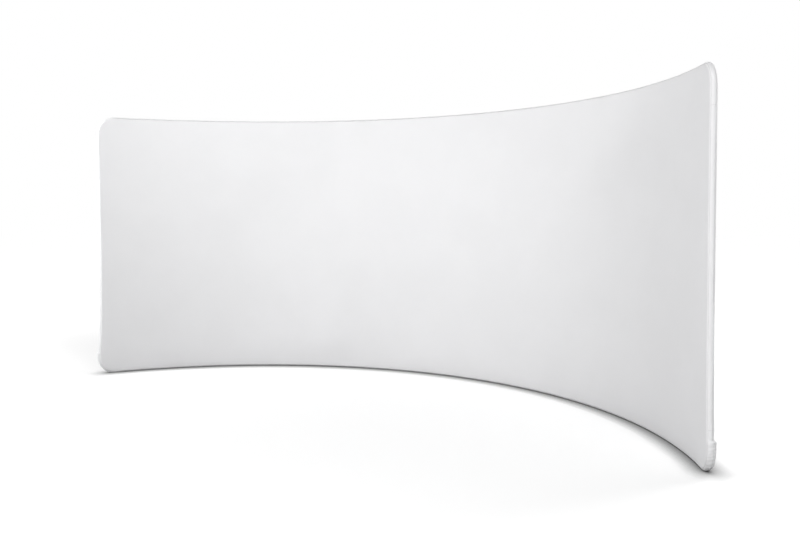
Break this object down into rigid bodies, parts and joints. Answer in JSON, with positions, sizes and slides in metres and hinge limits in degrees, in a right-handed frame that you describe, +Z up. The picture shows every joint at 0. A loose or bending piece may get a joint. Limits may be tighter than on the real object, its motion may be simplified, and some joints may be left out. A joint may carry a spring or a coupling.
{
  "type": "display backwall",
  "caption": "Free-standing curved display backwall: a white zipped stretch-fabric cover pulled over a round-cornered frame of plugged tubes held by snap buttons.",
  "frame": {"origin": "middle of the base: the bottom centre of the whole object's box", "axes": "+Z up, +X along the wall's chord, the hollow front faces -Y"},
  "size_m": [5.297, 1.6635, 2.3],
  "materials": {
    "stretch_fabric": "white knitted polyester, matt with a faint sheen",
    "frame_tube": "satin anodised",
    "moulded_plastic": "black moulded nylon",
    "spring_steel": "bright spring steel",
    "zip_coil": "white nylon coil",
    "zip_metal": "nickel plated"
  },
  "bodies": {
    "frame": {"bottom_left_corner_bend": "frame_tube", "bottom_rail_1": "frame_tube", "bottom_rail_2": "frame_tube", "bottom_rail_3": "frame_tube", "bottom_rail_4": "frame_tube", "bottom_right_corner_bend": "frame_tube", "top_left_corner_bend": "frame_tube", "top_rail_1": "frame_tube", "top_rail_2": "frame_tube", "top_rail_3": "frame_tube", "top_rail_4": "frame_tube", "top_right_corner_bend": "frame_tube", "left_end_tube_lower": "frame_tube", "left_end_tube_upper": "frame_tube", "right_end_tube_lower": "frame_tube", "right_end_tube_upper": "frame_tube", "left_upright_lower": "frame_tube", "left_upright_upper": "frame_tube", "right_upright_lower": "frame_tube", "right_upright_upper": "frame_tube", "bottom_left_tee": "moulded_plastic", "bottom_right_tee": "moulded_plastic", "top_left_tee": "moulded_plastic", "top_right_tee": "moulded_plastic", "front_cover": "stretch_fabric", "back_cover": "stretch_fabric", "top_edge_band": "stretch_fabric", "bottom_edge_band": "stretch_fabric", "left_edge_band": "stretch_fabric", "right_edge_band": "stretch_fabric", "zip_tape_lower": "stretch_fabric", "zip_tape_upper": "stretch_fabric", "zip_chain": "zip_coil", "zip_stop_left": "zip_metal", "zip_stop_right": "zip_metal"},
    "button_bottom_1": {"snap_button_bottom_1": "spring_steel"},
    "button_top_1": {"snap_button_top_1": "spring_steel"},
    "button_bottom_2": {"snap_button_bottom_2": "spring_steel"},
    "button_top_2": {"snap_button_top_2": "spring_steel"},
    "button_bottom_3": {"snap_button_bottom_3": "spring_steel"},
    "button_top_3": {"snap_button_top_3": "spring_steel"},
    "button_bottom_4": {"snap_button_bottom_4": "spring_steel"},
    "button_top_4": {"snap_button_top_4": "spring_steel"},
    "button_bottom_5": {"snap_button_bottom_5": "spring_steel"},
    "button_top_5": {"snap_button_top_5": "spring_steel"},
    "button_left_end_1": {"snap_button_left_end_1": "spring_steel"},
    "button_right_end_1": {"snap_button_right_end_1": "spring_steel"},
    "button_left_end_2": {"snap_button_left_end_2": "spring_steel"},
    "button_right_end_2": {"snap_button_right_end_2": "spring_steel"},
    "button_left_end_3": {"snap_button_left_end_3": "spring_steel"},
    "button_right_end_3": {"snap_button_right_end_3": "spring_steel"},
    "button_left_upright": {"snap_button_left_upright": "spring_steel"},
    "button_right_upright": {"snap_button_right_upright": "spring_steel"},
    "slider": {"zip_slider": "zip_metal"},
    "pull": {"zip_pull": "zip_metal"}
  },
  "joints": [
    {"name": "press_bottom_1", "type": "slide", "parent": "frame", "child": "button_bottom_1", "axis": [0, 0, 1], "range_m": [-0.0045, 0], "stiffness_N_per_m": 400, "springref_m": 0.002},
    {"name": "press_top_1", "type": "slide", "parent": "frame", "child": "button_top_1", "axis": [0, 0, -1], "range_m": [-0.0045, 0], "stiffness_N_per_m": 400, "springref_m": 0.002},
    {"name": "press_bottom_2", "type": "slide", "parent": "frame", "child": "button_bottom_2", "axis": [0, 0, 1], "range_m": [-0.0045, 0], "stiffness_N_per_m": 400, "springref_m": 0.002},
    {"name": "press_top_2", "type": "slide", "parent": "frame", "child": "button_top_2", "axis": [0, 0, -1], "range_m": [-0.0045, 0], "stiffness_N_per_m": 400, "springref_m": 0.002},
    {"name": "press_bottom_3", "type": "slide", "parent": "frame", "child": "button_bottom_3", "axis": [0, 0, 1], "range_m": [-0.0045, 0], "stiffness_N_per_m": 400, "springref_m": 0.002},
    {"name": "press_top_3", "type": "slide", "parent": "frame", "child": "button_top_3", "axis": [0, 0, -1], "range_m": [-0.0045, 0], "stiffness_N_per_m": 400, "springref_m": 0.002},
    {"name": "press_bottom_4", "type": "slide", "parent": "frame", "child": "button_bottom_4", "axis": [0, 0, 1], "range_m": [-0.0045, 0], "stiffness_N_per_m": 400, "springref_m": 0.002},
    {"name": "press_top_4", "type": "slide", "parent": "frame", "child": "button_top_4", "axis": [0, 0, -1], "range_m": [-0.0045, 0], "stiffness_N_per_m": 400, "springref_m": 0.002},
    {"name": "press_bottom_5", "type": "slide", "parent": "frame", "child": "button_bottom_5", "axis": [0, 0, 1], "range_m": [-0.0045, 0], "stiffness_N_per_m": 400, "springref_m": 0.002},
    {"name": "press_top_5", "type": "slide", "parent": "frame", "child": "button_top_5", "axis": [0, 0, -1], "range_m": [-0.0045, 0], "stiffness_N_per_m": 400, "springref_m": 0.002},
    {"name": "press_left_end_1", "type": "slide", "parent": "frame", "child": "button_left_end_1", "axis": [0.4498, 0.8932, 0], "range_m": [-0.0045, 0], "stiffness_N_per_m": 400, "springref_m": 0.002},
    {"name": "press_right_end_1", "type": "slide", "parent": "frame", "child": "button_right_end_1", "axis": [-0.4498, 0.8932, 0], "range_m": [-0.0045, 0], "stiffness_N_per_m": 400, "springref_m": 0.002},
    {"name": "press_left_end_2", "type": "slide", "parent": "frame", "child": "button_left_end_2", "axis": [0.4498, 0.8932, 0], "range_m": [-0.0045, 0], "stiffness_N_per_m": 400, "springref_m": 0.002},
    {"name": "press_right_end_2", "type": "slide", "parent": "frame", "child": "button_right_end_2", "axis": [-0.4498, 0.8932, 0], "range_m": [-0.0045, 0], "stiffness_N_per_m": 400, "springref_m": 0.002},
    {"name": "press_left_end_3", "type": "slide", "parent": "frame", "child": "button_left_end_3", "axis": [0.4498, 0.8932, 0], "range_m": [-0.0045, 0], "stiffness_N_per_m": 400, "springref_m": 0.002},
    {"name": "press_right_end_3", "type": "slide", "parent": "frame", "child": "button_right_end_3", "axis": [-0.4498, 0.8932, 0], "range_m": [-0.0045, 0], "stiffness_N_per_m": 400, "springref_m": 0.002},
    {"name": "press_left_upright", "type": "slide", "parent": "frame", "child": "button_left_upright", "axis": [0.927, 0.375, 0], "range_m": [-0.0045, 0], "stiffness_N_per_m": 400, "springref_m": 0.002},
    {"name": "press_right_upright", "type": "slide", "parent": "frame", "child": "button_right_upright", "axis": [-0.927, 0.375, 0], "range_m": [-0.0045, 0], "stiffness_N_per_m": 400, "springref_m": 0.002},
    {"name": "zip_run", "type": "hinge", "parent": "frame", "child": "slider", "pos_m": [0, -2.13, 0.05], "axis": [0, 0, 1], "range_deg": [0, 116.9]},
    {"name": "pull_swing", "type": "hinge", "parent": "slider", "child": "pull", "pos_m": [2.53009, -0.57909, 0.05], "axis": [0, 0, 1], "range_deg": [-180, 0]}
  ]
}
